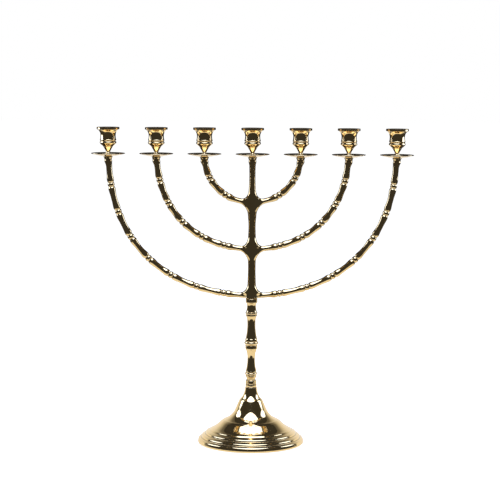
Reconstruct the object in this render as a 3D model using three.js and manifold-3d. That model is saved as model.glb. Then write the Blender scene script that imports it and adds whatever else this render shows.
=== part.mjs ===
// Seven-branched brass menorah in the bamboo pattern, as an assembly of separate pieces.
// Millimetres, +Z up, +X along the row of cups. The origin is the centre of the foot's underside.
import * as THREE from 'three';
import { mergeVertices } from 'three/addons/utils/BufferGeometryUtils.js';
import Module from 'manifold-3d';

const wasm = await Module();
wasm.setup();

// ---- driving dimensions -------------------------------------------------------------

const GAP = 0.3; // clearance left between pieces that touch
const CURVE_STEPS = 2; // straight steps for each curve of an outline

// Row of cups
const CUP_PITCH = 75.4; // between neighbouring cups
const CUP_COUNT = 7;
const MIDDLE_CUP = 4;
const SEAT_Z = 454; // top face of every arm end, where the drip pan sits
const CUP_HEIGHT = 42.4;
const BORE_RADIUS = 11; // takes a 22 mm candle
const BORE_FLOOR = 17.1; // above the foot of the cup
const PAN_RADIUS = 26.6;
const PAN_HUB_THICKNESS = 3;
const PAN_DEPTH = 5.2;

// Studs that screw the cups and pans to the arms
const STUD_RADIUS = 2;
const STUD_BORE_RADIUS = STUD_RADIUS + GAP;
const STUD_DEPTH_IN_ARM = 10;
const STUD_DEPTH_IN_CUP = 11;

// Arms: half of each pair, as the four control points of its curve in the XZ plane
const ARM_END_INSET = 1.2; // the curve ends this far inside its cup's axis
const ARM_END_Z = 448;
const ARMS = [
  { name: 'inner', cup: 1, hubZ: 384.0, rise: -2.0, reach: 46, lean: 1.4, drop: 29.3, nodes: 2, topGap: 27.5 },
  { name: 'middle', cup: 2, hubZ: 309.0, rise: 3.6, reach: 106.3, lean: 3.6, drop: 62.9, nodes: 5, topGap: 31 },
  { name: 'outer', cup: 3, hubZ: 235.4, rise: 4.3, reach: 168.2, lean: 1.9, drop: 96.6, nodes: 7, topGap: 38 },
];
const FIRST_NODE = 44.5; // along the arm from the shaft's axis
const ARM_WAIST = 4.75; // radius between two bamboo nodes
const ARM_ROOT = 4.1; // radius where the arm is thinnest, next to the shaft
const ROOT_END = 30; // the arm reaches its full waist this far out
const ARM_TOP_RADIUS = 5.9; // the arm swells to this under the ring at its end
const ARM_TOP_SWELL = 13; // length of that swelling
const ARM_SIDES = 8;

// Shaft and the fillets at the crossings
const SHAFT_FOOT_Z = 231;
const SHAFT_RADIUS = 6;
const FILLET_RADIUS = 13.5;

// Stem and foot
const STEM_SPLIT_Z = 156.6; // joint between the two lengths of the stem
const STEM_FOOT_Z = 94.8;
const COLLAR_RADIUS = 9.2;
const BELL_TOP_Z = 89.6;
const FOOT_RADIUS = 84.2;
const LIP_RADIUS = 2.2; // rolled edge of the foot
const LIP_Z = 2.7; // centre of the rolled edge
const ROD_RADIUS = 3;
const ROD_BORE_RADIUS = ROD_RADIUS + GAP;
const ROD_TOP_Z = 246;
const ROD_FOOT_Z = 56;
const BELL_CEILING_Z = 69; // underside of the foot's solid neck, where the washer bears
const FELT_THICKNESS = 1.8;
const PLATE_THICKNESS = 3;
const PLATE_RADIUS = 78;

// ---- materials ----------------------------------------------------------------------

const finishes = {
  brass: { color: 0xd9ab56, metalness: 1, roughness: 0.12 },
  steel: { color: 0xa9a9a6, metalness: 1, roughness: 0.4 },
  felt: { color: 0x1d3b2a, metalness: 0, roughness: 1 },
};

const menorah = new THREE.Group();

function addPiece(name, geometry, finish, x = 0, z = 0) {
  const mesh = new THREE.Mesh(geometry, new THREE.MeshStandardMaterial(finishes[finish]));
  mesh.name = name;
  mesh.position.set(x, 0, z);
  menorah.add(mesh);
}

// ---- geometry helpers ---------------------------------------------------------------

// Solid of revolution about Z, from a path in (radius, height). A lathe faces outwards when
// its profile runs anticlockwise, so a profile that runs the other way is turned round.
function turned(path, sides) {
  const profile = path.getPoints(CURVE_STEPS);
  if (THREE.ShapeUtils.isClockWise(profile)) profile.reverse();
  return new THREE.LatheGeometry(profile, sides).rotateX(Math.PI / 2);
}

function pathFrom(r, z) {
  return new THREE.Path().moveTo(r, z);
}

function rodOutline(radius, bottom, top, chamfer) {
  return pathFrom(0, bottom)
    .lineTo(radius - chamfer, bottom)
    .lineTo(radius, bottom + chamfer)
    .lineTo(radius, top - chamfer)
    .lineTo(radius - chamfer, top)
    .lineTo(0, top);
}

function tubeOutline(inner, outer, bottom, top) {
  return pathFrom(inner, bottom)
    .lineTo(outer, bottom)
    .lineTo(outer, top)
    .lineTo(inner, top)
    .lineTo(inner, bottom);
}

function toSolid(geometry) {
  const bare = geometry.clone();
  bare.deleteAttribute('normal');
  bare.deleteAttribute('uv');
  const merged = mergeVertices(bare, 1e-4);
  const vertProperties = new Float32Array(merged.attributes.position.array);
  const triVerts = new Uint32Array(merged.index.array);
  return new wasm.Manifold(new wasm.Mesh({ numProp: 3, vertProperties, triVerts }));
}

function toGeometry(solid) {
  const mesh = solid.getMesh();
  const geometry = new THREE.BufferGeometry();
  geometry.setAttribute('position', new THREE.BufferAttribute(mesh.vertProperties, 3));
  geometry.setIndex(new THREE.BufferAttribute(mesh.triVerts, 1));
  return geometry;
}

// ---- candelabrum: shaft and six arms in one casting ---------------------------------

function armCurve({ cup, hubZ, rise, reach, lean, drop }) {
  const endX = cup * CUP_PITCH - ARM_END_INSET;
  return new THREE.CubicBezierCurve3(
    new THREE.Vector3(0, 0, hubZ),
    new THREE.Vector3(reach, 0, hubZ + rise),
    new THREE.Vector3(endX - lean, 0, ARM_END_Z - drop),
    new THREE.Vector3(endX, 0, ARM_END_Z),
  );
}

// One bamboo node: a ring between two grooves, with a swollen shoulder on either side.
// The first station is the waist that leads up to it.
const NODE_STATIONS = [
  [-20, ARM_WAIST], [-8.5, 5.6], [-4, 4.35], [-2.4, 5.45], [2.4, 5.45], [4, 4.35], [8.5, 5.6],
];

// Height that the web between arm and shaft adds to one side of the arm.
function filletHeight(distance) {
  const inside = SHAFT_RADIUS + FILLET_RADIUS - Math.max(distance, SHAFT_RADIUS);
  if (inside <= 0) return 0;
  return FILLET_RADIUS - Math.sqrt(FILLET_RADIUS ** 2 - inside ** 2);
}

// Stations along an arm: distance from the shaft's axis, half width, and half height above
// and below the curve in the plane of the arms.
function armStations(arm, length) {
  const filletBelow = arm.name === 'outer' ? 0 : 1;
  const rootDistances = [2, SHAFT_RADIUS, 7.5, 10, 14, 19, ROOT_END];
  const root = rootDistances.map((distance) => {
    const radius = distance < ROOT_END ? ARM_ROOT : ARM_WAIST - 0.2;
    const web = filletHeight(distance);
    return { distance, wide: radius, above: radius + web, below: radius + web * filletBelow };
  });
  const lastNode = length - arm.topGap;
  const nodePitch = (lastNode - FIRST_NODE) / (arm.nodes - 1);
  const bamboo = [];
  for (let i = 0; i < arm.nodes; i += 1) {
    for (const [offset, radius] of NODE_STATIONS) {
      const distance = FIRST_NODE + i * nodePitch + offset;
      if (distance > ROOT_END) bamboo.push({ distance, wide: radius, above: radius, below: radius });
    }
  }
  const top = [[length - ARM_TOP_SWELL, ARM_WAIST], [length, ARM_TOP_RADIUS]].map(([distance, radius]) => (
    { distance, wide: radius, above: radius, below: radius }
  ));
  return [...root, ...bamboo, ...top];
}

// Bends a straight unit cylinder with one ring of vertices per station along the arm.
function armGeometry(arm) {
  const curve = armCurve(arm);
  const length = curve.getLength();
  const stations = armStations(arm, length);
  const geometry = new THREE.CylinderGeometry(1, 1, 1, ARM_SIDES, stations.length - 1);
  const position = geometry.attributes.position;
  for (let i = 0; i < position.count; i += 1) {
    const along = Math.round((position.getY(i) + 0.5) * (stations.length - 1));
    const { distance, wide, above, below } = stations[along];
    const centre = curve.getPointAt(distance / length);
    const tangent = curve.getTangentAt(distance / length);
    const height = position.getX(i) * (position.getX(i) > 0 ? above : below);
    position.setXYZ(
      i,
      centre.x - tangent.z * height,
      position.getZ(i) * wide,
      centre.z + tangent.x * height,
    );
  }
  return geometry;
}

// Swelling of the shaft from its foot to just under the top neck.
function shaftOutline() {
  return pathFrom(0, SHAFT_FOOT_Z)
    .lineTo(9, SHAFT_FOOT_Z)
    .lineTo(9, SHAFT_FOOT_Z + 2)
    .quadraticCurveTo(SHAFT_RADIUS, 244, SHAFT_RADIUS, 268)
    .quadraticCurveTo(SHAFT_RADIUS, 296, 7, 310)
    .quadraticCurveTo(5.5, 326, 5.5, 345)
    .quadraticCurveTo(5.6, 368, 6.8, 384)
    .quadraticCurveTo(4.9, 402, 4.9, 428)
    .lineTo(5.4, 443)
    .lineTo(ARM_TOP_RADIUS, ARM_END_Z)
    .lineTo(0, ARM_END_Z);
}

// End of an arm: a small ring, a waist and the flared seat under the drip pan.
function neckOutline() {
  return pathFrom(0, SEAT_Z - 8)
    .lineTo(6, SEAT_Z - 8)
    .lineTo(6.5, SEAT_Z - 7)
    .lineTo(6.5, SEAT_Z - 5.8)
    .lineTo(5.8, SEAT_Z - 4.6)
    .quadraticCurveTo(5.8, SEAT_Z - 2.8, 7, SEAT_Z - 1.4)
    .lineTo(7, SEAT_Z)
    .lineTo(0, SEAT_Z);
}

function cupX(number) {
  return (number - MIDDLE_CUP) * CUP_PITCH;
}

function candelabrumGeometry() {
  let solid = toSolid(turned(shaftOutline(), 12));
  for (const arm of ARMS) {
    const half = armGeometry(arm);
    solid = solid.add(toSolid(half));
    solid = solid.add(toSolid(half.clone().rotateZ(Math.PI)));
  }
  const neck = turned(neckOutline(), 12);
  const studBore = turned(rodOutline(STUD_BORE_RADIUS, SEAT_Z - STUD_DEPTH_IN_ARM - GAP, SEAT_Z + 1, 0.2), 8);
  for (let number = 1; number <= CUP_COUNT; number += 1) {
    solid = solid.add(toSolid(neck.clone().translate(cupX(number), 0, 0)));
  }
  for (let number = 1; number <= CUP_COUNT; number += 1) {
    solid = solid.subtract(toSolid(studBore.clone().translate(cupX(number), 0, 0)));
  }
  const rodBore = turned(rodOutline(ROD_BORE_RADIUS, SHAFT_FOOT_Z - 1, ROD_TOP_Z + GAP, 0.2), 12);
  return toGeometry(solid.subtract(toSolid(rodBore)));
}

// ---- cups, pans and studs -----------------------------------------------------------

// Candle cup, from the blind hole for the stud, out over the foot and up to the flared rim,
// then down the bore to its flat floor.
function cupOutline() {
  return pathFrom(0, STUD_DEPTH_IN_CUP + GAP)
    .lineTo(STUD_BORE_RADIUS, STUD_DEPTH_IN_CUP + GAP)
    .lineTo(STUD_BORE_RADIUS, 0)
    .lineTo(6, 0)
    .quadraticCurveTo(3.8, 1, 3.6, 4.6)
    .lineTo(7.1, 11.7)
    .lineTo(8, 12.6)
    .lineTo(12.5, 16.8)
    .lineTo(13.1, 18)
    .lineTo(13.1, 19.2)
    .lineTo(12.4, 21.2)
    .lineTo(12.8, 23)
    .lineTo(12, 26)
    .lineTo(12, 29.6)
    .quadraticCurveTo(12.2, 33.6, 14, 36.3)
    .lineTo(17.8, 40)
    .lineTo(17.8, CUP_HEIGHT - 0.4)
    .lineTo(17.3, CUP_HEIGHT)
    .quadraticCurveTo(11.6, CUP_HEIGHT - 0.9, BORE_RADIUS, 39)
    .lineTo(BORE_RADIUS, BORE_FLOOR)
    .lineTo(0, BORE_FLOOR);
}

// Drip pan: a shallow dish with a flat hub that the stud passes through.
function panOutline() {
  return pathFrom(STUD_BORE_RADIUS + 0.2, 0)
    .lineTo(7.6, 0)
    .quadraticCurveTo(17, 1.6, PAN_RADIUS - 0.6, PAN_DEPTH - 1)
    .lineTo(PAN_RADIUS, PAN_DEPTH - 0.6)
    .lineTo(PAN_RADIUS - 0.6, PAN_DEPTH)
    .quadraticCurveTo(17, 3.2, 8.8, 2.7)
    .lineTo(7.8, PAN_HUB_THICKNESS)
    .lineTo(STUD_BORE_RADIUS + 0.2, PAN_HUB_THICKNESS)
    .lineTo(STUD_BORE_RADIUS + 0.2, 0);
}

function addCupStack(number, x) {
  const panZ = SEAT_Z + GAP;
  const cupZ = panZ + PAN_HUB_THICKNESS + GAP;
  const studLength = STUD_DEPTH_IN_ARM + GAP + PAN_HUB_THICKNESS + GAP + STUD_DEPTH_IN_CUP;
  const stud = rodOutline(STUD_RADIUS, 0, studLength, 0.4);
  addPiece(`cup_stud_${number}`, turned(stud, 8), 'steel', x, SEAT_Z - STUD_DEPTH_IN_ARM);
  addPiece(`drip_pan_${number}`, turned(panOutline(), 16), 'brass', x, panZ);
  addPiece(`candle_cup_${number}`, turned(cupOutline(), 12), 'brass', x, cupZ);
}

// ---- stem ---------------------------------------------------------------------------

// A bead turned on the stem, between the radius before it and the radius after it.
function bead(path, radius, z, halfHeight, radiusAfter) {
  return path
    .lineTo(radius, z + halfHeight * 0.35)
    .lineTo(radius, z - halfHeight * 0.35)
    .lineTo(radiusAfter, z - halfHeight);
}

function stemUpperOutline() {
  const top = SHAFT_FOOT_Z - GAP;
  const path = pathFrom(ROD_BORE_RADIUS, top)
    .lineTo(9.35, top)
    .lineTo(9.35, 225.8)
    .quadraticCurveTo(7.2, 223.4, 7.1, 219.7)
    .quadraticCurveTo(7.4, 213.5, 8.7, 210);
  bead(path, 9.7, 207.9, 1.7, 8.5)
    .lineTo(8.5, 203.4)
    .quadraticCurveTo(7, 199.5, 6.6, 190)
    .quadraticCurveTo(6.6, 177, 9.4, 167)
    .lineTo(9.8, 162.2);
  return bead(path, 11.3, 159.9, 2.2, 9.5)
    .lineTo(9.5, STEM_SPLIT_Z)
    .lineTo(ROD_BORE_RADIUS, STEM_SPLIT_Z)
    .lineTo(ROD_BORE_RADIUS, top);
}

function stemLowerOutline() {
  const top = STEM_SPLIT_Z - GAP;
  const path = pathFrom(ROD_BORE_RADIUS, top)
    .lineTo(9.6, top)
    .lineTo(9.5, 152.3)
    .quadraticCurveTo(7, 145, 6.2, 136)
    .quadraticCurveTo(6.3, 124, 8.8, 115.5)
    .lineTo(8.8, 113);
  return bead(path, 9.8, 110.9, 1.6, 9)
    .lineTo(8.7, 105.9)
    .quadraticCurveTo(7, 103.5, 7.2, 100.5)
    .lineTo(9, 96.4)
    .lineTo(9, STEM_FOOT_Z)
    .lineTo(ROD_BORE_RADIUS, STEM_FOOT_Z)
    .lineTo(ROD_BORE_RADIUS, top);
}

// ---- foot ---------------------------------------------------------------------------

// Bell-shaped foot. The outside comes down from the neck over the dome and the flare to
// three rounded ribs and the rolled lip, and the inside goes back up one wall away.
function bellOutline() {
  const lipX = FOOT_RADIUS - LIP_RADIUS;
  return pathFrom(ROD_BORE_RADIUS, BELL_TOP_Z)
    .lineTo(9.4, BELL_TOP_Z)
    .bezierCurveTo(10.4, 80, 12.8, 74.2, 17, 70.3)
    .lineTo(18.8, 67.9)
    .lineTo(24.4, 55)
    .bezierCurveTo(27.4, 47.6, 33, 41.2, 41.4, 37.6)
    .lineTo(43.2, 36.9)
    .lineTo(46.4, 34.9)
    .bezierCurveTo(51.2, 31, 56.5, 25, 62.2, 22.8)
    .lineTo(65.2, 20.5)
    .lineTo(70.6, 18.2)
    .lineTo(71.9, 15.3)
    .lineTo(77.2, 12.9)
    .lineTo(78.5, 9.8)
    .lineTo(82.6, 7.8)
    .lineTo(83.7, 4.6)
    .lineTo(FOOT_RADIUS, LIP_Z)
    .lineTo(lipX, LIP_Z - LIP_RADIUS)
    .lineTo(lipX - LIP_RADIUS, LIP_Z)
    .quadraticCurveTo(77, 9, 63, 17.6)
    .quadraticCurveTo(50, 21.5, 38, 33.6)
    .quadraticCurveTo(22, 42, 20, 58)
    .lineTo(15.5, BELL_CEILING_Z)
    .lineTo(ROD_BORE_RADIUS, BELL_CEILING_Z)
    .lineTo(ROD_BORE_RADIUS, BELL_TOP_Z);
}

function nutGeometry(acrossFlats, height) {
  const corner = acrossFlats / Math.sqrt(3);
  const hexagon = new THREE.Shape();
  hexagon.moveTo(corner, 0);
  for (let i = 1; i < 6; i += 1) {
    hexagon.lineTo(corner * Math.cos(i * Math.PI / 3), corner * Math.sin(i * Math.PI / 3));
  }
  hexagon.holes.push(new THREE.Path().absarc(0, 0, ROD_BORE_RADIUS, 0, 2 * Math.PI));
  return new THREE.ExtrudeGeometry(hexagon, { depth: height, bevelEnabled: false, curveSegments: 12 });
}

function addFoot() {
  const washerThickness = 1.6;
  const nutHeight = 5;
  const washerZ = BELL_CEILING_Z - GAP - washerThickness;
  const washer = tubeOutline(ROD_BORE_RADIUS, 9, 0, washerThickness);
  const collar = tubeOutline(ROD_BORE_RADIUS, COLLAR_RADIUS, BELL_TOP_Z + GAP, STEM_FOOT_Z - GAP);
  const rod = rodOutline(ROD_RADIUS, ROD_FOOT_Z, ROD_TOP_Z, 0.6);
  const plate = rodOutline(PLATE_RADIUS, 0, PLATE_THICKNESS, 0.4);
  const felt = rodOutline(PLATE_RADIUS, 0, FELT_THICKNESS, 0.2);
  addPiece('base_bell', turned(bellOutline(), 28), 'brass');
  addPiece('base_collar', turned(collar, 16), 'brass');
  addPiece('base_washer', turned(washer, 16), 'steel', 0, washerZ);
  addPiece('base_nut', nutGeometry(10, nutHeight), 'steel', 0, washerZ - GAP - nutHeight);
  addPiece('tie_rod', turned(rod, 12), 'steel');
  addPiece('base_plate', turned(plate, 28), 'steel', 0, FELT_THICKNESS + GAP);
  addPiece('felt_pad', turned(felt, 28), 'felt');
}

// ---- assembly -----------------------------------------------------------------------

addPiece('candelabrum', candelabrumGeometry(), 'brass');
for (let number = 1; number <= CUP_COUNT; number += 1) {
  addCupStack(number, cupX(number));
}
addPiece('stem_upper', turned(stemUpperOutline(), 12), 'brass');
addPiece('stem_lower', turned(stemLowerOutline(), 12), 'brass');
addFoot();

export default menorah;
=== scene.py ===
"""Looks for the seven-branched brass menorah: high-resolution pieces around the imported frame.

Outlines and the casting are in millimetres; objects, lights and the camera are in metres."""
import math

import bmesh
import bpy
import numpy as np
from mathutils import Matrix, Vector


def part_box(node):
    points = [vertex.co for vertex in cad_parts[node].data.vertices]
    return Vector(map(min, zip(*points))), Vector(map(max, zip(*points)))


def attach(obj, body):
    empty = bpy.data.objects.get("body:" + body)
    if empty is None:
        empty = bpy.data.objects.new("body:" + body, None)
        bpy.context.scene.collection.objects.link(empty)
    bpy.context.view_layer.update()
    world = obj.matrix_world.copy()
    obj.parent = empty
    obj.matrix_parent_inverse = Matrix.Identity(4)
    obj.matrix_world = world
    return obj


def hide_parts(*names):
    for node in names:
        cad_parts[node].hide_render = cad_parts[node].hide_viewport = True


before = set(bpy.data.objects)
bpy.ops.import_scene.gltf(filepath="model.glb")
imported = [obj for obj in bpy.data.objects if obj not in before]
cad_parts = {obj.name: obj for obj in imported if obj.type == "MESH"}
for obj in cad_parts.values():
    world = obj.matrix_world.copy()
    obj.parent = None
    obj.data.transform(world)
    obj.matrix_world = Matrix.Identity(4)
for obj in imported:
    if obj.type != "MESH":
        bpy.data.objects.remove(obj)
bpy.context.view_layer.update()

scene = bpy.context.scene
MM = 0.001


def centre_x(node):
    low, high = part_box(node)
    return (low.x + high.x) / 2


# ---- camera -----------------------------------------------------------------------------

CAMERA_AT = (-0.003, -2.826, 0.629)
CAMERA_PITCH = -6.48
CAMERA_ROLL = 0.39
CAMERA_LENS = 130
SENSOR_WIDTH = 36
CAMERA_REACH = 50


def make_camera():
    data = bpy.data.cameras.new("camera")
    data.lens = CAMERA_LENS
    data.sensor_width = SENSOR_WIDTH
    data.clip_end = CAMERA_REACH
    camera = bpy.data.objects.new("camera", data)
    scene.collection.objects.link(camera)
    tilt = Matrix.Rotation(math.radians(90 + CAMERA_PITCH), 4, "X")
    roll = Matrix.Rotation(math.radians(CAMERA_ROLL), 4, "Z")
    camera.matrix_world = Matrix.Translation(CAMERA_AT) @ tilt @ roll
    scene.camera = camera


make_camera()

# ---- outlines: (radius, height) in millimetres -------------------------------------------

CURVE_POINTS = 14
CORNER_STEPS = 4
CORNER_TURN = math.radians(9)
CORNER_SHARE = 0.4
SAME_POINT = 1e-6


def curve_between(start, controls, end):
    """Points of a quadratic or cubic curve after its start."""
    points = []
    for i in range(1, CURVE_POINTS + 1):
        t = i / CURVE_POINTS
        line = [np.array(p, float) for p in (start, *controls, end)]
        while len(line) > 1:
            line = [a + (b - a) * t for a, b in zip(line, line[1:])]
        points.append(tuple(line[0]))
    return points


def outline(start, *steps, closed=True, corner=0.3, spacing=1.0):
    """A path of straight steps (r, z) and curves (control..., r, z), with its corners rounded
    and its long steps divided."""
    points = [start]
    for step in steps:
        controls = list(zip(step[0:-2:2], step[1:-2:2]))
        if controls:
            points += curve_between(points[-1], controls, step[-2:])
        else:
            points.append(step)
    if closed and math.dist(points[0], points[-1]) < SAME_POINT:
        points.pop()
    return divided(rounded(points, corner, closed), spacing, closed)


def rounded(points, corner, closed):
    """The path with each sharp corner replaced by a short curve."""
    made = []
    count = len(points)
    for i, p in enumerate(points):
        if not closed and i in (0, count - 1):
            made.append(p)
            continue
        p = np.array(p, float)
        before = np.array(points[i - 1], float) - p
        after = np.array(points[(i + 1) % count], float) - p
        a, b = np.linalg.norm(before), np.linalg.norm(after)
        turn = math.pi - math.acos(np.clip(before @ after / (a * b), -1, 1))
        if turn < CORNER_TURN:
            made.append(tuple(p))
            continue
        cut = min(corner, CORNER_SHARE * a, CORNER_SHARE * b)
        start, end = p + before / a * cut, p + after / b * cut
        for k in range(CORNER_STEPS + 1):
            t = k / CORNER_STEPS
            made.append(tuple(start * (1 - t) ** 2 + p * 2 * t * (1 - t) + end * t * t))
    return made


def divided(points, spacing, closed):
    """The path with no step longer than the spacing."""
    made = []
    ends = points[1:] + points[:1] if closed else points[1:]
    for a, b in zip(points, ends):
        parts = max(1, math.ceil(math.dist(a, b) / spacing))
        for k in range(parts):
            t = k / parts
            made.append((a[0] + (b[0] - a[0]) * t, a[1] + (b[1] - a[1]) * t))
    if not closed:
        made.append(points[-1])
    return made


RELIEF_REACH = 1.3
RELIEF_DEPTH = 0.45
TINY = 1e-9


def relief_of(points):
    """How far each point of a closed outline lies in a groove, up to 1, or on an edge, down
    to -1."""
    p = np.array(points, float)
    around = np.vstack([p, p[:1]])
    lengths = np.linalg.norm(np.diff(around, axis=0), axis=1)
    along = np.concatenate([[0], np.cumsum(lengths)])
    total = along[-1]

    def at(s):
        s = np.mod(s, total)
        return np.stack([np.interp(s, along, around[:, k]) for k in (0, 1)], axis=1)

    here = along[:-1]
    before, after = at(here - RELIEF_REACH), at(here + RELIEF_REACH)
    area = np.sum(p[:, 0] * np.roll(p[:, 1], -1) - np.roll(p[:, 0], -1) * p[:, 1])
    heading = after - before
    side = np.stack([heading[:, 1], -heading[:, 0]], axis=1) * (1 if area > 0 else -1)
    side /= np.maximum(np.linalg.norm(side, axis=1, keepdims=True), TINY)
    depth = np.sum(((before + after) / 2 - p) * side, axis=1)
    return np.clip(depth / RELIEF_DEPTH, -1, 1)


# ---- meshes ---------------------------------------------------------------------------------

# In metres: vertices closer than this are welded, and shorter edges are dissolved
WELD = 2e-6
NO_LENGTH = 1e-7


class Shell:
    """Collects vertices, with their relief, and faces, and welds them into a piece."""

    def __init__(self):
        self.points, self.relief, self.faces = [], [], []

    def add(self, points, relief=None):
        first = len(self.points)
        self.points += [tuple(p) for p in points]
        if relief is None:
            relief = [0.0] * len(points)
        self.relief += [float(v) for v in relief]
        return list(range(first, first + len(points)))

    def grid(self, rows, wrap=False):
        """Quads between neighbouring rows of vertices."""
        for a, b in zip(rows, rows[1:]):
            n = len(a)
            for j in range(n if wrap else n - 1):
                k = (j + 1) % n
                self.faces.append((a[j], a[k], b[k], b[j]))

    def fan(self, row, point):
        """Triangles that close a ring of vertices at one point."""
        (tip,) = self.add([point])
        for j in range(len(row)):
            self.faces.append((row[j], row[(j + 1) % len(row)], tip))

    def piece(self, name, location=(0, 0, 0)):
        mesh = bpy.data.meshes.new(name)
        mesh.from_pydata([tuple(c * MM for c in p) for p in self.points], [], self.faces)
        layer = mesh.attributes.new("relief", "FLOAT", "POINT")
        layer.data.foreach_set("value", np.array(self.relief, np.float32))
        bm = bmesh.new()
        bm.from_mesh(mesh)
        bmesh.ops.remove_doubles(bm, verts=bm.verts, dist=WELD)
        bmesh.ops.dissolve_degenerate(bm, edges=bm.edges, dist=NO_LENGTH)
        bmesh.ops.recalc_face_normals(bm, faces=bm.faces)
        for face in bm.faces:
            face.smooth = True
        bm.to_mesh(mesh)
        bm.free()
        return place(name, mesh, location)


def place(name, mesh, location=(0, 0, 0)):
    piece = bpy.data.objects.new(name, mesh)
    piece.location = location
    scene.collection.objects.link(piece)
    return piece


# Relief that marks the inside of a bored piece, from just below the lip's top, for painted
# near-black shade
INSIDE_SHADE_RELIEF = 2.0
LIP = 0.25
ON_AXIS = 1e-4


def lathe(name, points, sides, location=(0, 0, 0), bored=False):
    """Solid of revolution of a closed outline. Points on the axis become one vertex. On a bored
    one, the inside, from just below the lip's top where the outline is highest, is marked for
    painted near-black shade."""
    shell = Shell()
    relief = relief_of(points)
    if bored:
        top = max(z for r, z in points)
        inside = min(i for i, (r, z) in enumerate(points) if z > top - LIP)
        relief[inside:] = INSIDE_SHADE_RELIEF
    turns = [2 * math.pi * k / sides for k in range(sides)]
    rows = []
    for (r, z), depth in zip(points, relief):
        if r < ON_AXIS:
            rows.append(shell.add([(0, 0, z)], [depth]) * sides)
        else:
            ring = [(r * math.cos(a), r * math.sin(a), z) for a in turns]
            rows.append(shell.add(ring, [depth] * sides))
    rows.append(rows[0])
    for a, b in zip(rows, rows[1:]):
        if a[0] == a[1] and b[0] == b[1]:
            continue
        for j in range(sides):
            k = (j + 1) % sides
            corners = [a[j], a[k], b[k], b[j]]
            face = [v for n, v in enumerate(corners) if v not in corners[:n]]
            shell.faces.append(tuple(face))
    return shell.piece(name, location)


THREAD_SIDES = 20
STEPS_PER_TURN = 5
THREAD_DEPTH = 0.54
CHAMFER_LENGTH = 0.5
CHAMFER_SLOPE = 0.8


def threaded(name, radius, pitch, length, threads, location):
    """A rod with chamfered ends and a helical thread between each pair of heights in threads."""
    shell = Shell()
    depth = THREAD_DEPTH * pitch
    heights = np.arange(0, length + SAME_POINT, pitch / STEPS_PER_TURN)
    rows = []
    for z in heights:
        on = max((min(z - low, high - z) for low, high in threads), default=-1)
        amount = np.clip(on / pitch, 0, 1)
        end = min(z, length - z)
        shrink = max(0.0, CHAMFER_LENGTH - end)
        row = []
        for k in range(THREAD_SIDES):
            angle = 2 * math.pi * k / THREAD_SIDES
            phase = (z / pitch - k / THREAD_SIDES) % 1
            r = radius - depth * amount * abs(2 * phase - 1) - shrink * CHAMFER_SLOPE
            row.append((r * math.cos(angle), r * math.sin(angle), z))
        rows.append(shell.add(row))
    shell.grid(rows, wrap=True)
    shell.fan(rows[0], (0, 0, heights[0]))
    shell.fan(rows[-1], (0, 0, heights[-1]))
    return shell.piece(name, location)


# ---- candelabrum: shaft and six arms in one casting -------------------------------------------

SEAT_Z = 454.0
SHAFT_FOOT_Z = 231.0
ROD_BORE = 3.3
ARM_END_Z = 448.0
ARM_END_INSET = 1.2
HALF_SIDES = 16
ARM_ROOT = 4.1
FIRST_NODE = 44.5
ROOT_END = 34.0
HUB_FLATNESS = 0.93
CUP_PITCH = centre_x("candle_cup_5") / MM

# Each pair's height at the shaft, the two controls of its curve (rise and reach from the shaft,
# lean and drop from the end), its bamboo nodes, the gap above the last of them, and its fillets
# above and below: (reach along the arm, reach along the shaft)
ARMS = [
    dict(cup=1, z=384.0, rise=-2.0, reach=46, lean=1.4, drop=29.3, nodes=2, gap=27.5,
         above=(10.5, 12.0), below=(13.5, 17.0)),
    dict(cup=2, z=309.0, rise=3.6, reach=106.3, lean=3.6, drop=62.9, nodes=5, gap=31,
         above=(10.5, 15.0), below=(13.5, 16.0)),
    dict(cup=3, z=235.4, rise=4.3, reach=168.2, lean=1.9, drop=96.6, nodes=7, gap=38,
         above=(12.0, 15.0), below=(0.4, 0.4)),
]

SHAFT = outline(
    (9, 231), (9, 233), (6.8, 240, 6.8, 250), (6.5, 262, 6.1, 272), (6.05, 280),
    (6.1, 290, 6.7, 298), (6.9, 309), (6.6, 324), (5.65, 334, 5.6, 345), (5.6, 352, 6.4, 358),
    (6.9, 364, 7.1, 376), (7.0, 386, 6.4, 397), (5.0, 407, 4.95, 417), (4.8, 424, 4.85, 430),
    (5.05, 442), (5.7, 447), closed=False, spacing=0.5)
SHAFT_Z = np.array([p[1] for p in SHAFT])
SHAFT_R = np.array([p[0] for p in SHAFT])

# Radius of a bamboo node by distance from its middle: ring, groove, swollen shoulder, waist
NODE_AT = np.array([0, 1.0, 1.7, 2.3, 2.8, 3.3, 3.8, 4.4, 5.1, 6.0, 7.2, 8.6, 10.5, 12.5, 14.5,
                    16.5, 18.5, 20])
NODE_R = np.array([5.47, 5.45, 5.3, 4.9, 4.5, 4.3, 4.45, 4.9, 5.28, 5.5, 5.62, 5.62, 5.45, 5.22,
                   5.0, 4.86, 4.78, 4.75])
# The first shoulder runs in to the thinner root of the arm
FIRST_R = np.array([5.47, 5.45, 5.3, 4.9, 4.5, 4.3, 4.45, 4.9, 5.28, 5.5, 5.62, 5.58, 5.3, 4.9,
                    4.5, 4.27, 4.14, 4.1])
# End of every arm and of the shaft: height above the seat's face, radius
NECK = [(-15.5, 4.8), (-13.5, 5.0), (-11.5, 5.25), (-9.8, 5.6), (-8.7, 5.9), (-7.6, 6.15),
        (-6.9, 6.25), (-6.2, 6.2), (-5.6, 6.0), (-5.0, 5.8), (-4.3, 5.75), (-3.6, 5.85),
        (-2.8, 6.1), (-2.0, 6.4), (-1.2, 6.75), (-0.6, 6.95), (-0.3, 6.95), (0, 6.8)]
# Where the end leaves the arm's curve and becomes upright, above the seat's face
NECK_TURN = (-15, -5)
# Bands of the neck painted darker as shade through the tarnish colour: heights above the seat's
# face, and their relief
NECK_SHADE_BANDS = ((-8.8, -7.9), (-5.3, -4.2))
NECK_SHADE_RELIEF = 0.7


CURVE_SAMPLES = 2001
TANGENT_STEP = 0.3
MEETING_RADIUS = 4
SLOPE_STEP = 0.5
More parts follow.
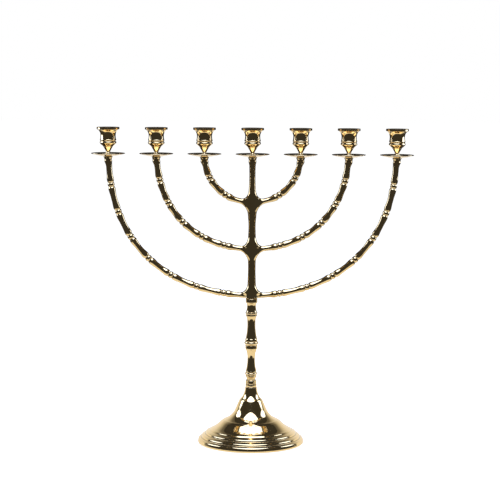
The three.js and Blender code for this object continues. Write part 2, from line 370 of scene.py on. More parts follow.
# Spans over which the thickness changes from shaft to arm, and over which a hub's flat ends
THICKNESS_SPAN = (-2, 10)
FLAT_SPAN = (-0.3, 1.1)
LEAST_GRADIENT = 1e-3


def smoothstep(low, high, value):
    t = np.clip((value - low) / (high - low), 0, 1)
    return t * t * (3 - 2 * t)


class Arm:
    """The right arm of one pair, as a curve in the XZ plane with a radius along it."""

    def __init__(self, spec):
        self.__dict__.update(spec)
        end_x = self.cup * CUP_PITCH - ARM_END_INSET
        controls = np.array([(0, self.z), (self.reach, self.z + self.rise),
                             (end_x - self.lean, ARM_END_Z - self.drop), (end_x, ARM_END_Z)])
        t = np.linspace(0, 1, CURVE_SAMPLES)[:, None]
        weights = np.hstack([(1 - t) ** 3, 3 * t * (1 - t) ** 2, 3 * t * t * (1 - t), t ** 3])
        self.line = weights @ controls
        steps = np.linalg.norm(np.diff(self.line, axis=0), axis=1)
        self.along = np.concatenate([[0], np.cumsum(steps)])
        self.length = self.along[-1]
        pitch = (self.length - self.gap - FIRST_NODE) / (self.nodes - 1)
        self.node_at = [FIRST_NODE + pitch * i for i in range(self.nodes)]

    def at(self, s):
        return np.array([np.interp(s, self.along, self.line[:, k]) for k in (0, 1)])

    def normal(self, s):
        ahead = self.at(s + TANGENT_STEP) - self.at(s - TANGENT_STEP)
        ahead /= np.linalg.norm(ahead)
        return np.array([-ahead[1], ahead[0]])

    def radius(self, s):
        s = np.asarray(s, float)
        nearest = np.argmin(np.abs(s[..., None] - np.array(self.node_at)), axis=-1)
        offset = s - np.array(self.node_at)[nearest]
        inner = (nearest == 0) & (offset < 0)
        away = np.abs(offset)
        first, other = (np.interp(away, NODE_AT, table) for table in (FIRST_R, NODE_R))
        return np.where(inner, first, other)

    def middle_z(self, x):
        """Height of the pair's centreline near the shaft, rounded where the two arms meet."""
        away = np.sqrt(np.square(x) + MEETING_RADIUS ** 2)
        return np.interp(away, self.line[:, 0], self.line[:, 1])


arms = [Arm(spec) for spec in ARMS]


def nearest_arm(z):
    return min(arms, key=lambda arm: abs(arm.z - z))


def body_distance(arm, x, z):
    """Signed distance in the plane of the arms to the shaft joined with one pair of arms by an
    elliptical fillet, half the thickness the casting reaches there, and how much of that thickness
    its edge takes to round over."""
    x, z = np.asarray(x, float), np.asarray(z, float)
    shaft_r = np.interp(z, SHAFT_Z, SHAFT_R)
    arm_r = arm.radius(np.abs(x))
    to_shaft = np.abs(x) - shaft_r
    slope = (arm.middle_z(np.abs(x) + SLOPE_STEP) - arm.middle_z(np.abs(x))) / SLOPE_STEP
    from_middle = (z - arm.middle_z(x)) / np.sqrt(1 + slope ** 2)
    to_arm = np.abs(from_middle) - arm_r
    across, along = (np.where(from_middle > 0, a, b) for a, b in zip(arm.above, arm.below))
    u, w = to_shaft / across, to_arm / along
    near_u, near_w = np.maximum(1 - u, 0), np.maximum(1 - w, 0)
    inside = np.maximum(np.hypot(near_u, near_w), TINY)
    gradient = np.hypot(near_u / across, near_w / along) / inside
    outside = np.maximum(1, np.minimum(u, w)) - inside
    distance = outside / np.maximum(gradient, LEAST_GRADIENT)
    thick = shaft_r + (arm_r - shaft_r) * smoothstep(*THICKNESS_SPAN, to_shaft - to_arm)
    edge = 1 - HUB_FLATNESS * (1 - smoothstep(*FLAT_SPAN, np.maximum(u, w)))
    return distance, thick, edge


def half_thickness(arm, x, z):
    """Rounds over from the silhouette within the thickness, or within less of it on a flat hub."""
    distance, thick, edge = body_distance(arm, x, z)
    depth = np.clip(-distance / (thick * edge), 0, 1)
    return thick * np.sqrt(1 - (1 - depth) ** 2)


HALVINGS = 44


def crossing(arm, start, step):
    """Where the line from start along step, from inside the casting, comes out of it."""
    low, high = 0.0, 1.0
    for _ in range(HALVINGS):
        middle = (low + high) / 2
        distance, _, _ = body_distance(arm, *(start + step * middle))
        low, high = (middle, high) if distance < 0 else (low, middle)
    return start + step * low


# Rings of the casting: how many run along a root, how far apart the others lie, and how far to
# look for the silhouette
ROOT_RINGS = 22
PLAIN_SPACING = 2.5
LEAST_SPACING = 0.35
NECK_GAP = 1.0
UPRIGHT_LENGTH = 25
EDGE_REACH = 30.0
CORNER_INSET = 2
CORNER_REACH = 12.0
# Blind hole of a seat, (radius, height) from the seat's face, and its tip
SEAT_BORE = [(7.4, 0), (5, 0), (2.8, 0), (2.4, -0.4), (2.3, -1.2), (2.3, -5), (2.3, -10.2)]
SEAT_BORE_TIP = -10.4
# Relief for painted shade in the deeper part of a seat's hole
BORE_SHADE = 0.4
BORE_SHADE_FROM = -1

SHAFT_REACH = 18.0
SPAN_RINGS = 42
TOP_RINGS = 32
# The shaft's lower face and its bore for the tie rod: (radius, height), and the bore's tip
FOOT_END = [(9.0, SHAFT_FOOT_Z + 0.06), (8.8, SHAFT_FOOT_Z), (6, SHAFT_FOOT_Z),
            (3.5, SHAFT_FOOT_Z), (ROD_BORE, SHAFT_FOOT_Z + 0.3), (ROD_BORE, 238),
            (ROD_BORE, 246.2)]
FOOT_BORE_TIP = 246.4

COS = np.cos(np.linspace(0, math.pi, HALF_SIDES + 1))
SIN = np.sin(np.linspace(0, math.pi, HALF_SIDES + 1))


def section(arm, a, b):
    """Ring over the front and back of the casting between two points of its silhouette."""
    middle, half = (a + b) / 2, (a - b) / 2
    flat = middle[None, :] + half[None, :] * COS[:, None]
    y = half_thickness(arm, flat[:, 0], flat[:, 1])
    y[0] = y[-1] = 0
    front = [(p[0], -d, p[1]) for p, d in zip(flat, y)]
    back = [(p[0], d, p[1]) for p, d in zip(flat, y)]
    return front + back[-2:0:-1]


def round_section(centre, normal, radius):
    """Ring around a round arm, in the plane of its normal."""
    (cx, cz), (nx, nz) = centre, normal
    front = [(cx + nx * radius * c, -radius * s, cz + nz * radius * c)
             for c, s in zip(COS, SIN)]
    back = [(x, -y, z) for x, y, z in front]
    return front + back[-2:0:-1]


def mirrored(ring):
    return [(-x, y, z) for x, y, z in ring]


def corner_of(arm, upper):
    """Middle of the fillet between arm and shaft on the right-hand side, looked for along a
    diagonal from inside the hub."""
    sign = 1 if upper else -1
    edge_z = arm.z + sign * ARM_ROOT
    edge_x = np.interp(edge_z, SHAFT_Z, SHAFT_R)
    start = np.array([edge_x - CORNER_INSET, edge_z - sign * CORNER_INSET])
    return crossing(arm, start, np.array([CORNER_REACH, sign * CORNER_REACH]))


def root_rings(arm):
    """Rings from the fillet at the shaft to the end of the arm's root."""
    top, bottom = corner_of(arm, True), corner_of(arm, False)
    end, normal = arm.at(ROOT_END), arm.normal(ROOT_END)
    end_top, end_bottom = end + normal * ARM_ROOT, end - normal * ARM_ROOT
    rings = [(section(arm, top, bottom), 0.0)]
    for t in np.linspace(0, 1, ROOT_RINGS)[1:-1]:
        x_top = top[0] + (end_top[0] - top[0]) * t
        x_bottom = bottom[0] + (end_bottom[0] - bottom[0]) * t
        from_top = np.array([x_top, arm.middle_z(x_top)])
        from_bottom = np.array([x_bottom, arm.middle_z(x_bottom)])
        a = crossing(arm, from_top, np.array([0, EDGE_REACH]))
        b = crossing(arm, from_bottom, np.array([0, -EDGE_REACH]))
        rings.append((section(arm, a, b), 0.0))
    return rings


def bamboo_stations(arm):
    """Places along the arm for rings: on every node and up to the end, none too close."""
    stations = set()
    for node in arm.node_at:
        for offset in NODE_AT:
            stations |= {round(node + offset, 3), round(node - offset, 3)}
    neck_start = arm.length - (ARM_END_Z - SEAT_Z - NECK[0][0]) - NECK_GAP
    stations |= set(np.arange(arm.node_at[-1] + NODE_AT[-1], neck_start, PLAIN_SPACING))
    stations = sorted(s for s in stations if ROOT_END <= s < neck_start)
    kept = [stations[0]]
    for s in stations[1:]:
        if s - kept[-1] > LEAST_SPACING:
            kept.append(s)
    return kept


def bamboo_rings(arm):
    rings = []
    for s in bamboo_stations(arm):
        r = float(arm.radius(s))
        before, after = float(arm.radius(s - RELIEF_REACH)), float(arm.radius(s + RELIEF_REACH))
        relief = np.clip(((before + after) / 2 - r) / RELIEF_DEPTH, -1, 1)
        rings.append((round_section(arm.at(s), arm.normal(s), r), relief))
    return rings


def neck_rings(arm):
    """Level rings that bring the arm's end upright under its seat."""
    axis_x = arm.cup * CUP_PITCH
    line_z = arm.line[:, 1]
    upper = line_z > ARM_END_Z - UPRIGHT_LENGTH
    rings = []
    for height, radius in NECK:
        z = SEAT_Z + height
        on_curve = np.interp(z, line_z[upper], arm.line[upper, 0])
        x = on_curve + (axis_x - on_curve) * smoothstep(*NECK_TURN, height)
        rings.append((level_ring((x, z), radius), neck_band_shade(height)))
    return rings


def arm_rings(arm):
    """Rings from the fillet at the shaft out to the seat, each with its relief."""
    return root_rings(arm) + bamboo_rings(arm) + neck_rings(arm)


# Relief for painted shade on the neck's shade bands
def neck_band_shade(height):
    in_shade_band = any(low < height < high for low, high in NECK_SHADE_BANDS)
    return NECK_SHADE_RELIEF if in_shade_band else 0.0


def level_ring(centre, radius):
    return round_section(centre, (-1, 0), radius)


def seat_and_bore(shell, last_row, axis_x):
    """Flat seat with the blind hole for the stud."""
    rows = [last_row]
    for radius, depth in SEAT_BORE:
        ring = level_ring((axis_x, SEAT_Z + depth), radius)
        relief = BORE_SHADE if depth < BORE_SHADE_FROM else 0
        rows.append(shell.add(ring, [relief] * len(ring)))
    shell.grid(rows, wrap=True)
    shell.fan(rows[-1], (axis_x, 0, SEAT_Z + SEAT_BORE_TIP))


def shaft_ring(arm, z):
    edge = crossing(arm, np.array([0.0, z]), np.array([SHAFT_REACH, 0.0]))
    return section(arm, edge, np.array([-edge[0], z]))


def hub_block(shell, arm):
    """Front and back of the crossing, between the four rings around it."""
    top, bottom = corner_of(arm, True), corner_of(arm, False)
    for side in (-1, 1):
        rows = []
        for k, c in enumerate(COS):
            edge = top + (bottom - top) * ((1 - c) / 2)
            x = edge[0] * COS
            z = np.full_like(x, edge[1])
            y = half_thickness(arm, x, z)
            if k in (0, HALF_SIDES):
                y[0] = y[-1] = 0
            rows.append(shell.add(list(zip(x, side * y, z))))
        shell.grid(rows)


def add_pair(shell, arm):
    """One pair of arms with the crossing that they leave from."""
    hub_block(shell, arm)
    rings = arm_rings(arm)
    for side in (1, -1):
        rows = [shell.add(mirrored(ring) if side < 0 else ring, [relief] * len(ring))
                for ring, relief in rings]
        shell.grid(rows, wrap=True)
        seat_and_bore(shell, rows[-1], arm.cup * CUP_PITCH * side)


def add_shaft_top(shell):
    """The shaft above the inner pair, with its own seat."""
    inner = arms[0]
    heights = np.linspace(corner_of(inner, True)[1], SEAT_Z + NECK[0][0], TOP_RINGS)
    rows = [shell.add(shaft_ring(inner, z)) for z in heights]
    for height, radius in NECK[1:]:
        ring = mirrored(level_ring((0, SEAT_Z + height), radius))
        rows.append(shell.add(ring, [neck_band_shade(height)] * len(ring)))
    shell.grid(rows, wrap=True)
    seat_row = shell.add(level_ring((0, SEAT_Z), NECK[-1][1]))
    seat_and_bore(shell, seat_row, 0)


def add_shaft_foot(shell):
    """The shaft's lower end, with the blind bore for the tie rod."""
    outer = arms[-1]
    rows = [shell.add(shaft_ring(outer, corner_of(outer, False)[1]))]
    for radius, z in FOOT_END:
        rows.append(shell.add(mirrored(level_ring((0, z), radius))))
    shell.grid(rows, wrap=True)
    shell.fan(rows[-1], (0, 0, FOOT_BORE_TIP))


def candelabrum():
    shell = Shell()
    for arm in arms:
        add_pair(shell, arm)
    inner, middle, outer = arms
    for below, above in ((outer, middle), (middle, inner)):
        low, high = corner_of(below, True)[1], corner_of(above, False)[1]
        heights = np.linspace(low, high, SPAN_RINGS)
        rows = [shell.add(shaft_ring(nearest_arm(z), z)) for z in heights]
        shell.grid(rows, wrap=True)
    add_shaft_top(shell)
    add_shaft_foot(shell)
    return shell.piece("candelabrum_cast")


# ---- procedural materials ----------------------------------------------------------------------

PIECE_SHIFT = (3.1, 5.3, 1.7)
SCRATCH_TURNS = ((0.3, 0.4), (1.2, 1.7), (2.2, 2.6))
SCRATCH_SCALE = (2600, 60, 130)
SCRATCH_EDGE = (0.66, 0.74)


class Nodes:
    """Builds a material's nodes with short calls. Noise scales are in cycles per metre."""

    def __init__(self, name):
        self.material = bpy.data.materials.new(name)
        self.material.use_nodes = True
        self.tree = self.material.node_tree
        self.shader = self.tree.nodes["Principled BSDF"]

    def put(self, kind, **values):
        node = self.tree.nodes.new(kind)
        for key, value in values.items():
            setattr(node, key, value)
        return node

    def link(self, source, target):
        self.tree.links.new(source, target)

    def socket(self, target, value):
        if isinstance(value, bpy.types.NodeSocket):
            self.link(value, target)
        else:
            target.default_value = value

    def math(self, operation, a, b=0.0):
        node = self.put("ShaderNodeMath", operation=operation)
        self.socket(node.inputs[0], a)
        self.socket(node.inputs[1], b)
        return node.outputs[0]

    def remap(self, value, low, high, to_low=0.0, to_high=1.0):
        node = self.put("ShaderNodeMapRange", interpolation_type="SMOOTHSTEP")
        for socket, v in zip(node.inputs, (value, low, high, to_low, to_high)):
            self.socket(socket, v)
        return node.outputs[0]

    def mix(self, factor, a, b):
        node = self.put("ShaderNodeMix", data_type="RGBA")
        self.socket(node.inputs["Factor"], factor)
        self.socket(node.inputs[6], a)
        self.socket(node.inputs[7], b)
        return node.outputs[2]

    def noise(self, vector, scale, detail=3.0, roughness=0.5, distortion=0.0):
        node = self.put("ShaderNodeTexNoise")
        self.link(vector, node.inputs["Vector"])
        node.inputs["Scale"].default_value = scale
        node.inputs["Detail"].default_value = detail
        node.inputs["Roughness"].default_value = roughness
        node.inputs["Distortion"].default_value = distortion
        return node.outputs["Fac"]

    def stretched(self, vector, scale, rotation=(0, 0, 0)):
        node = self.put("ShaderNodeMapping")
        self.link(vector, node.inputs["Vector"])
        node.inputs["Scale"].default_value = scale
        node.inputs["Rotation"].default_value = rotation
        return node.outputs[0]

    def coordinates(self):
        return self.put("ShaderNodeTexCoord").outputs["Object"]

    def shifted_coordinates(self):
        """Object coordinates, moved by a different amount for each piece."""
        info = self.put("ShaderNodeObjectInfo")
        shift = self.put("ShaderNodeVectorMath", operation="SCALE")
        shift.inputs[0].default_value = PIECE_SHIFT
        self.link(info.outputs["Random"], shift.inputs["Scale"])
        total = self.put("ShaderNodeVectorMath", operation="ADD")
        self.link(self.coordinates(), total.inputs[0])
        self.link(shift.outputs[0], total.inputs[1])
        return total.outputs[0]

    def axes(self):
        """X, Y and Z of the object coordinates."""
        parts = self.put("ShaderNodeSeparateXYZ")
        self.link(self.coordinates(), parts.inputs[0])
        return parts.outputs

    def bump(self, height, distance, strength=1.0, normal=None):
        node = self.put("ShaderNodeBump")
        node.inputs["Strength"].default_value = strength
        node.inputs["Distance"].default_value = distance
        self.link(height, node.inputs["Height"])
        if normal is not None:
            self.link(normal, node.inputs["Normal"])
        return node.outputs[0]

    def scratches(self, vector):
        """Sparse fine lines in three directions."""
        total = None
        for tilt, angle in SCRATCH_TURNS:
            along = self.stretched(vector, SCRATCH_SCALE, (tilt, angle, angle))
            line = self.remap(self.noise(along, 1.0, detail=2.0), *SCRATCH_EDGE)
            total = line if total is None else self.math("MAXIMUM", total, line)
        return total

    def relief(self):
        node = self.put("ShaderNodeAttribute", attribute_name="relief")
        return node.outputs["Fac"]


BRASS_BRIGHT = (0.90, 0.67, 0.33, 1)
BRASS_WARM = (0.87, 0.62, 0.28, 1)
# Tarnish, and also painted shade where the relief marks seat holes and neck bands
BRASS_TARNISH_AND_SHADE = (0.30, 0.17, 0.06, 1)
BRASS_EDGE = (0.93, 0.72, 0.40, 1)
# Painted near-black shade inside a cup
PAINTED_INSIDE_SHADE = (0.06, 0.04, 0.02, 1)
ZINC = (0.55, 0.56, 0.56, 1)
DARK_ZINC = (0.28, 0.28, 0.285, 1)
STEEL_SHADE = 0.72
STEEL_SCUFF = (0.8, 0.8, 0.8, 1)
FELT_DEEP = (0.006, 0.022, 0.012, 1)
FELT_GREEN = (0.03, 0.085, 0.05, 1)
FELT_PATCH = (0.012, 0.04, 0.03, 1)
FELT_LINT = (0.2, 0.22, 0.2, 1)


class Brass(Nodes):
    """Polished brass, made of one noise for clouds, one for haze and a field of scratches."""

    def __init__(self, name, roughness, turned, tarnish):
        super().__init__(name)
        self.vector = self.shifted_coordinates()
        self.haze = self.noise(self.vector, 95, detail=5, roughness=0.62, distortion=0.8)
        self.lines = self.scratches(self.vector)
        self.depth = self.relief()
        uneven = self.math("MULTIPLY", self.math("SUBTRACT", self.haze, 0.5), 0.5)
        # Tarnish in grooves, and painted shade in the seat holes and neck bands that the relief
        # marks
        self.groove = self.remap(self.math("ADD", self.depth, uneven), 0.15, 0.85)
        # Mask of a cup's inside, which gets painted near-black shade and more roughness
        self.bore = self.remap(self.depth, 1.1, 1.6)
        self.link(self.colour(tarnish), self.shader.inputs["Base Color"])
        self.link(self.gloss(roughness), self.shader.inputs["Roughness"])
        self.link(self.surface(turned), self.shader.inputs["Normal"])
        self.shader.inputs["Metallic"].default_value = 1.0

    def colour(self, tarnish):
        """Slow changes, specks, tarnish in the grooves with painted shade in the seat holes and
        neck bands, painted near-black shade inside the bore, and bright worn edges.
        """
        cloud = self.noise(self.vector, 26, detail=4, roughness=0.6, distortion=0.4)
        colour = self.mix(self.remap(cloud, 0.35, 0.68), BRASS_BRIGHT, BRASS_WARM)
        speck = self.noise(self.vector, 420, detail=3, roughness=0.7)
        colour = self.mix(self.remap(speck, 0.66, 0.8, 0, 0.35), colour, BRASS_TARNISH_AND_SHADE)
        edge = self.remap(self.math("MULTIPLY", self.depth, -1), 0.35, 0.95)
        # Tarnish with painted shade, near-black painted shade inside a cup, and lighter worn edges
        layers = [(self.groove, tarnish, BRASS_TARNISH_AND_SHADE), (self.bore, 0.9, PAINTED_INSIDE_SHADE),
                  (edge, 0.6, BRASS_EDGE)]
        for mask, amount, tint in layers:
            colour = self.mix(self.math("MULTIPLY", mask, amount), colour, tint)
        return colour

    def gloss(self, roughness):
        """Roughness: hazy all over, and duller in grooves, in the bore and on scratches."""
        rough = self.remap(self.haze, 0.3, 0.75, roughness * 0.72, roughness * 1.5)
        for mask, amount in ((self.groove, 0.16), (self.bore, 0.3), (self.lines, 0.09)):
            rough = self.math("ADD", rough, self.math("MULTIPLY", mask, amount))
        return rough

    def surface(self, turned):
        """Slight ripples, scratches and, on turned pieces, tool rings. Depths in metres."""
        ripple = self.noise(self.vector, 150, detail=2)
        normal = self.bump(ripple, 0.00006, 0.35)
        normal = self.bump(self.lines, 0.00002, 0.25, normal)
        if turned:
            x, y, z = self.axes()
            squares = (self.math("MULTIPLY", axis, axis) for axis in (x, y))
            rings = self.put("ShaderNodeCombineXYZ")
            self.link(self.math("SQRT", self.math("ADD", *squares)), rings.inputs[0])
            self.link(z, rings.inputs[2])
            cut = self.noise(rings.outputs[0], 2600, detail=2, roughness=0.6)
            normal = self.bump(cut, 0.00002, turned, normal)
        return normal


def brass(name, roughness, turned=0.0, tarnish=0.5):
    return Brass(name, roughness, turned, tarnish).material


def steel(name, colour, roughness):
    """Zinc-plated steel with a mottled, slightly scuffed skin."""
    n = Nodes(name)
    vector = n.shifted_coordinates()
    mottle = n.noise(vector, 500, detail=4, roughness=0.65, distortion=0.6)
    dark = tuple(c * STEEL_SHADE for c in colour[:3]) + (1,)
    shade = n.mix(n.remap(mottle, 0.35, 0.7), colour, dark)
    shade = n.mix(n.math("MULTIPLY", n.scratches(vector), 0.5), shade, STEEL_SCUFF)
    rough = n.remap(mottle, 0.3, 0.75, roughness * 0.75, roughness * 1.35)
    n.link(shade, n.shader.inputs["Base Color"])
    n.link(rough, n.shader.inputs["Roughness"])
    n.shader.inputs["Metallic"].default_value = 1.0
    n.link(n.bump(mottle, 0.00005, 0.4), n.shader.inputs["Normal"])
    return n.material


def felt(name):
    """Dark green felt: matted fibres in two directions with a little lint."""
    n = Nodes(name)
    vector = n.shifted_coordinates()
    fibres = n.noise(n.stretched(vector, (1, 5, 2), (0, 0, 0.6)), 900, 4, 0.7, 2.0)
    crossed = n.noise(n.stretched(vector, (5, 1, 2), (0, 0, -0.4)), 850, 4, 0.7, 2.0)
    mat = n.math("MAXIMUM", fibres, crossed)
    patch = n.noise(vector, 40, detail=3)
    lint = n.noise(vector, 1500, detail=2, roughness=0.6)
    colour = n.mix(n.remap(mat, 0.45, 0.8), FELT_DEEP, FELT_GREEN)
    colour = n.mix(n.remap(patch, 0.4, 0.7, 0, 0.4), colour, FELT_PATCH)
    colour = n.mix(n.remap(lint, 0.72, 0.8, 0, 0.5), colour, FELT_LINT)
    n.link(colour, n.shader.inputs["Base Color"])
    n.shader.inputs["Roughness"].default_value = 0.95
    n.shader.inputs["Sheen Weight"].default_value = 0.6
    n.shader.inputs["Sheen Roughness"].default_value = 0.5
    n.link(n.bump(mat, 0.0004, 0.8), n.shader.inputs["Normal"])
    return n.material


cast_brass = brass("cast_brass", 0.07, tarnish=0.55)
turned_brass = brass("turned_brass", 0.065, turned=0.12, tarnish=0.45)
spun_brass = brass("spun_brass", 0.08, turned=0.07, tarnish=0.4)
foot_brass = brass("foot_brass", 0.075, turned=0.12, tarnish=0.4)
zinc_steel = steel("zinc_steel", ZINC, 0.32)
dark_steel = steel("dark_steel", DARK_ZINC, 0.42)
green_felt = felt("green_felt")


def finish_piece(piece, material, body, slot, *nodes):
    if not piece.data.materials:
        piece.data.materials.append(material)
    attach(piece, body)
    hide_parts(*nodes)


# ---- cups, pans and studs ---------------------------------------------------------------------

CUP = outline(
    (0, 11.3), (2.3, 11.3), (2.3, 0.3), (2.6, 0), (5.6, 0), (5.9, 0.3), (5.7, 0.8),
    (4.0, 2.0, 3.55, 3.8), (3.5, 4.4), (3.6, 5.2), (7.1, 11.4), (7.5, 11.8), (7.5, 12.4),
    (8.3, 12.9), (8.5, 13.3), (10.4, 14.6, 11.9, 16.2), (12.2, 16.6), (12.9, 17.0, 13.1, 18.3),
    (12.9, 19.6, 12.3, 20.1), (12.05, 20.4), (12.05, 21.2), (12.3, 21.5),
    (12.95, 21.8, 12.9, 22.9), (12.3, 23.3, 11.9, 26.0, 11.85, 29.6), (12.0, 33.0, 13.5, 35.8),
    (14.3, 37.2, 16.6, 38.9), (17.5, 39.0), (17.8, 39.3), (17.8, 42.25), (17.65, 42.4),
    (17.1, 42.35), (16.6, 42.0), (12.0, 40.8, 11.0, 36.5), (11, 17.8), (10.3, 17.1), (0, 17.1),
    corner=0.25, spacing=0.9)

PAN = outline(
    (2.5, 0.2), (2.7, 0), (7.6, 0), (8.1, 0.1), (17, 1.6, 25.6, 3.95), (26.3, 4.1, 26.6, 4.45),
    (26.6, 4.75), (26.5, 5.2, 26.0, 5.2), (25.3, 5.05), (17, 3.2, 9.2, 2.75), (8.6, 2.8),
    (8.0, 3.0), (2.7, 3.0), (2.5, 2.8), corner=0.15, spacing=0.9)

CUP_SIDES = 72
PAN_SIDES = 96
STUD_RADIUS = 2.0
STUD_PITCH = 0.7

cup_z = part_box("candle_cup_4")[0].z
pan_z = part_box("drip_pan_4")[0].z
stud_low, stud_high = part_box("cup_stud_4")


def stack(number):
    """Stud, pan and cup on one arm. Those of the first arm lend their meshes to the others."""
    x = centre_x(f"candle_cup_{number}")
    length = (stud_high.z - stud_low.z) / MM

    def made(kind, z, build):
        name, at = f"{kind}_{number}", (x, 0, z)
        mesh = bpy.data.meshes.get(f"{kind}_1")
        return place(name, mesh, at) if mesh else build(name, at)

    cup = made("cup", cup_z, lambda name, at: lathe(name, CUP, CUP_SIDES, at, bored=True))
    pan = made("pan", pan_z, lambda name, at: lathe(name, PAN, PAN_SIDES, at))
    stud = made("stud", stud_low.z, lambda name, at: threaded(
        name, STUD_RADIUS, STUD_PITCH, length, [(0, length)], at))
    finish_piece(cup, turned_brass, f"cup_{number}", "cup_brass", f"candle_cup_{number}")
    finish_piece(pan, spun_brass, f"pan_{number}", "pan_brass", f"drip_pan_{number}")
    finish_piece(stud, zinc_steel, "stand", "steel", f"cup_stud_{number}")


for cup_number in range(1, 8):
    stack(cup_number)

# ---- stem ---------------------------------------------------------------------------------------

STEM_UPPER = outline(
    (ROD_BORE, 230.7), (9.1, 230.7), (9.35, 230.4), (9.35, 225.2), (9.1, 224.6),
    (7.3, 223.0, 7.1, 219.4), (7.4, 213.5, 8.6, 210.2), (8.7, 209.7), (9.4, 209.3),
    (9.75, 208.6, 9.75, 207.9),
    (9.75, 207.1, 9.3, 206.5), (8.6, 206.1), (8.5, 205.7), (8.8, 205.4), (8.85, 203.4),
    (8.6, 202.9), (7.2, 200.5, 6.75, 197.5, 6.6, 192), (6.5, 178, 9.3, 167.2), (9.8, 166.4),
    (9.8, 163.2), (9.5, 162.5), (10.4, 162.1), (11.2, 161.4, 11.3, 160),
    (11.2, 158.5, 10.3, 157.9), (9.4, 157.5), (9.2, 156.6), (ROD_BORE, 156.6))
STEM_LOWER = outline(
    (ROD_BORE, 156.3), (9.3, 156.3), (9.6, 156.0), (9.6, 151.2), (9.35, 150.6),
    (7.4, 147.4, 6.3, 141.5, 6.2, 136), (6.3, 124, 8.7, 115.6), (8.9, 115.2), (8.9, 113.4),
    (8.5, 112.9), (9.3, 112.4), (9.8, 111.8, 9.8, 110.9), (9.8, 110.0, 9.3, 109.4),
    (8.6, 109.1), (8.6, 108.6), (9.0, 108.2), (9.0, 106.6), (8.7, 105.9),
    (7, 103.5, 7.3, 101.2), (8.4, 100.4), (8.8, 100.0), (8.8, 97.0), (9.05, 96.4),
    (9.05, 95.1), (8.7, 94.8), (ROD_BORE, 94.8))
COLLAR = outline(
    (ROD_BORE, 89.9), (8.7, 89.9), (9.1, 90.2), (9.2, 92.2), (9.1, 94.2), (8.7, 94.5),
    (ROD_BORE, 94.5))
STEM_SIDES = 96

finish_piece(candelabrum(), cast_brass, "stand", "candelabrum_brass", "candelabrum")
for made_name, made_outline, node in (("stem_top", STEM_UPPER, "stem_upper"),
                                      ("stem_bottom", STEM_LOWER, "stem_lower"),
                                      ("collar", COLLAR, "base_collar")):
    turned_piece = lathe(made_name, made_outline, STEM_SIDES)
    finish_piece(turned_piece, turned_brass, "stand", "stem_brass", node)

# ---- foot ---------------------------------------------------------------------------------------

BELL = outline(
    (ROD_BORE, 89.6), (9.1, 89.6), (9.4, 89.3), (10.4, 80.0, 12.8, 74.2, 17.0, 70.3),
    (18.2, 69.3, 18.8, 67.9), (21.8, 61.4, 24.4, 55.0), (27.4, 47.6, 33.0, 41.2, 41.4, 37.6),
    (42.4, 37.4, 43.2, 36.9), (44.6, 36.1, 46.4, 34.9), (51.2, 31.0, 56.5, 25.0, 62.2, 22.8),
    (63.0, 22.5, 63.6, 21.8), (64.4, 20.9, 65.2, 20.5), (70.4, 18.3), (71.7, 17.6, 71.9, 15.6),
    (72.2, 15.1), (76.9, 13.0), (78.2, 12.2, 78.4, 10.1), (78.8, 9.6), (82.2, 8.0),
    (83.4, 7.2, 83.7, 5.0), (84.1, 4.2, 84.2, 2.9), (84.0, 1.0, 82.2, 0.5),
    (80.4, 0.7, 79.9, 2.7), (77, 9, 63, 17.6), (50, 21.5, 38, 33.6), (22, 42, 20, 58),
    (15.5, 69), (ROD_BORE, 69), corner=0.35, spacing=1.1)

WASHER = outline(
    (ROD_BORE, 0.1), (3.5, 0), (8.8, 0), (9, 0.25), (9, 1.35), (8.8, 1.6), (3.5, 1.6),
    (ROD_BORE, 1.5), corner=0.1, spacing=0.6)
PLATE = outline(
    (0, 0), (77.5, 0), (78, 0.5), (78, 2.5), (77.5, 3), (0, 3), spacing=4)
FELT = outline(
    (0, 0), (77.6, 0), (78, 0.4), (78, 1.4), (77.6, 1.8), (0, 1.8), spacing=4)

# Across the flats; radii of the chamfered faces and of the bore's mouth; chamfer heights
NUT_FLATS = 10.0
NUT_FACE = 4.6
NUT_SHOULDER = 4.95
NUT_MOUTH = 3.7
NUT_MOUTH_DEPTH = 0.4
NUT_SHOULDER_AT = 0.15
NUT_CORNER_AT = 0.6
NUT_SIDES = 96


def hex_nut():
    """Six-sided nut with its corners chamfered, around the rod's hole."""
    low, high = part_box("base_nut")
    height = (high.z - low.z) / MM
    corner = NUT_FLATS / math.sqrt(3)
    shell = Shell()

    def ring(z, cap):
        row = []
        for k in range(NUT_SIDES):
            angle = 2 * math.pi * k / NUT_SIDES
            within = angle % (math.pi / 3) - math.pi / 6
            r = min(NUT_FLATS / 2 / math.cos(within), cap)
            row.append((r * math.cos(angle), r * math.sin(angle), z))
        return shell.add(row)

    profile = [(0, NUT_FACE), (NUT_SHOULDER_AT, NUT_SHOULDER), (NUT_CORNER_AT, corner),
               (height / 2, corner), (height - NUT_CORNER_AT, corner),
               (height - NUT_SHOULDER_AT, NUT_SHOULDER), (height, NUT_FACE),
               (height, NUT_MOUTH), (height - NUT_MOUTH_DEPTH, ROD_BORE),
               (NUT_MOUTH_DEPTH, ROD_BORE), (0, NUT_MOUTH)]
    rows = [ring(z, cap) for z, cap in profile]
    shell.grid(rows + rows[:1], wrap=True)
    return shell.piece("nut", (0, 0, low.z))


ROD_RADIUS = 3.0
ROD_PITCH = 1.0
ROD_THREAD_LOWER = 22
ROD_THREAD_UPPER = 20


def tie_rod():
    """Rod with a thread at each end."""
    low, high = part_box("tie_rod")
    length = (high.z - low.z) / MM
    threads = [(0, ROD_THREAD_LOWER), (length - ROD_THREAD_UPPER, length)]
    return threaded("rod", ROD_RADIUS, ROD_PITCH, length, threads, (0, 0, low.z))


def on_floor_of(node):
    return 0, 0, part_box(node)[0].z


